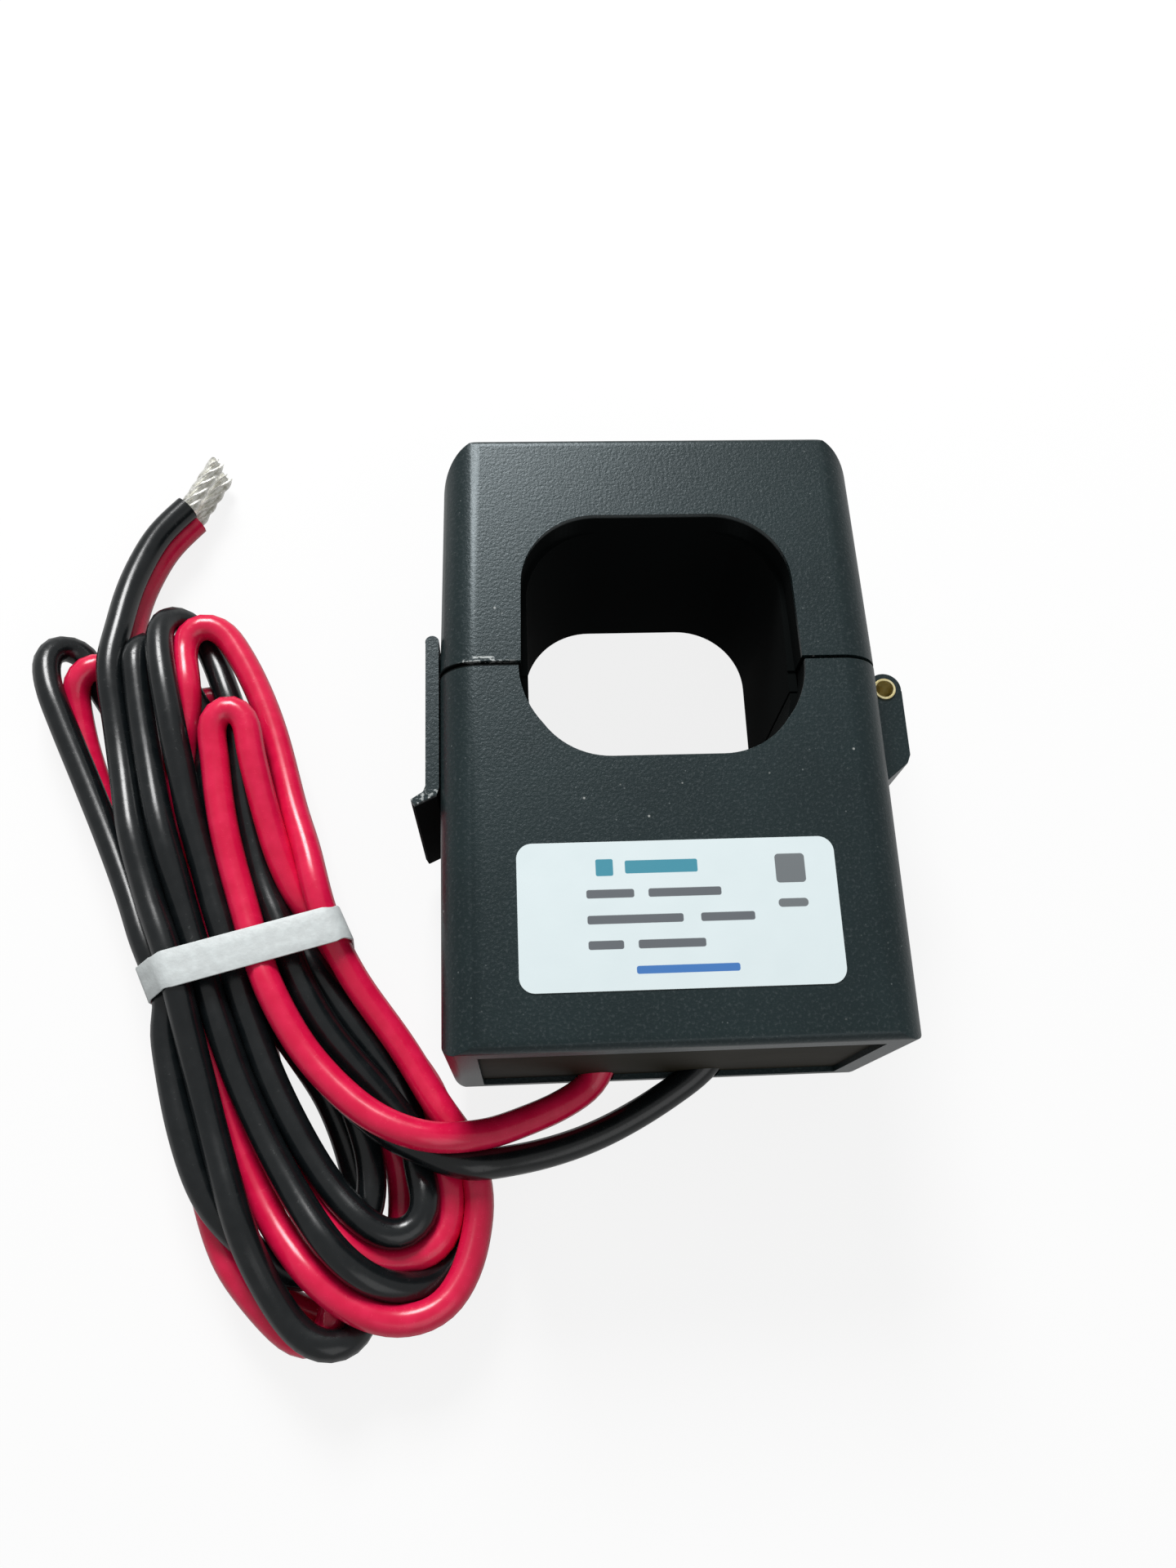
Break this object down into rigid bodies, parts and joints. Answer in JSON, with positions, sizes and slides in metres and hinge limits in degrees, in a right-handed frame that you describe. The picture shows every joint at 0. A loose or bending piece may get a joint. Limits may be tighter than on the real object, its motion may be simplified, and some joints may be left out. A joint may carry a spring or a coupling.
{
  "type": "split-core current transformer",
  "caption": "Hinged split-core current transformer with a square rounded window, side latch, poured winding chamber and red and black leads tied in a hank",
  "frame": {"origin": "bottom centre of the transformer's own box, lying on its flat back, without the leads", "axes": "+X to the hinge side, +Y towards the lid, +Z out of the labelled face"},
  "size_m": [0.1297, 0.1383, 0.0371],
  "materials": {
    "case": "finely textured near-black moulded plastic with a matt sheen",
    "clip": "near-black moulded plastic, worn bright at the edges of its lip",
    "core": "wound silicon steel strip with lapped pole faces",
    "foam": "closed-cell foam strip",
    "bobbin": "natural moulded nylon",
    "copper": "enamelled copper wire",
    "tape": "yellow polyester tape",
    "sleeve": "shrunk splice sleeve",
    "potting": "glossy dark poured resin",
    "brass": "drawn brass tube, slightly dulled",
    "label": "cool white self-adhesive label with plain coloured bars",
    "red_insulation": "glossy crimson wire insulation",
    "black_insulation": "glossy black wire insulation",
    "hank": "bundled red and black insulated leads",
    "tinned_copper": "coarse twisted strands dipped in solder",
    "band": "flat white satin tie tape"
  },
  "bodies": {
    "lower_half": {"lower_housing": "case", "lower_core": "core", "bobbin": "bobbin", "secondary_winding": "copper", "winding_tape": "tape", "winding_ends": "copper", "splice_sleeve_red": "sleeve", "splice_sleeve_black": "sleeve", "potting_seal": "potting", "hinge_pin": "brass", "label": "label", "lead_red": "red_insulation", "lead_black": "black_insulation", "lead_hank": "hank", "tail_red": "red_insulation", "tail_black": "black_insulation", "tinned_end_red": "tinned_copper", "tinned_end_black": "tinned_copper", "hank_band": "band"},
    "upper_half": {"upper_housing": "case", "upper_core": "core", "core_pad": "foam"},
    "latch": {"latch_clip": "clip"}
  },
  "joints": [
    {"name": "lid_hinge", "type": "hinge", "parent": "lower_half", "child": "upper_half", "pos_m": [0.0323, 0.00775, 0.0185], "axis": [0, 0, -1], "range_deg": [0, 120], "deforming": ["latch_clip"]},
    {"name": "latch_release", "type": "hinge", "parent": "upper_half", "child": "latch", "pos_m": [-0.03195, 0.01345, 0.0185], "axis": [0, 0, -1], "range_deg": [0, 5], "stiffness_Nm_per_rad": 0.05}
  ]
}
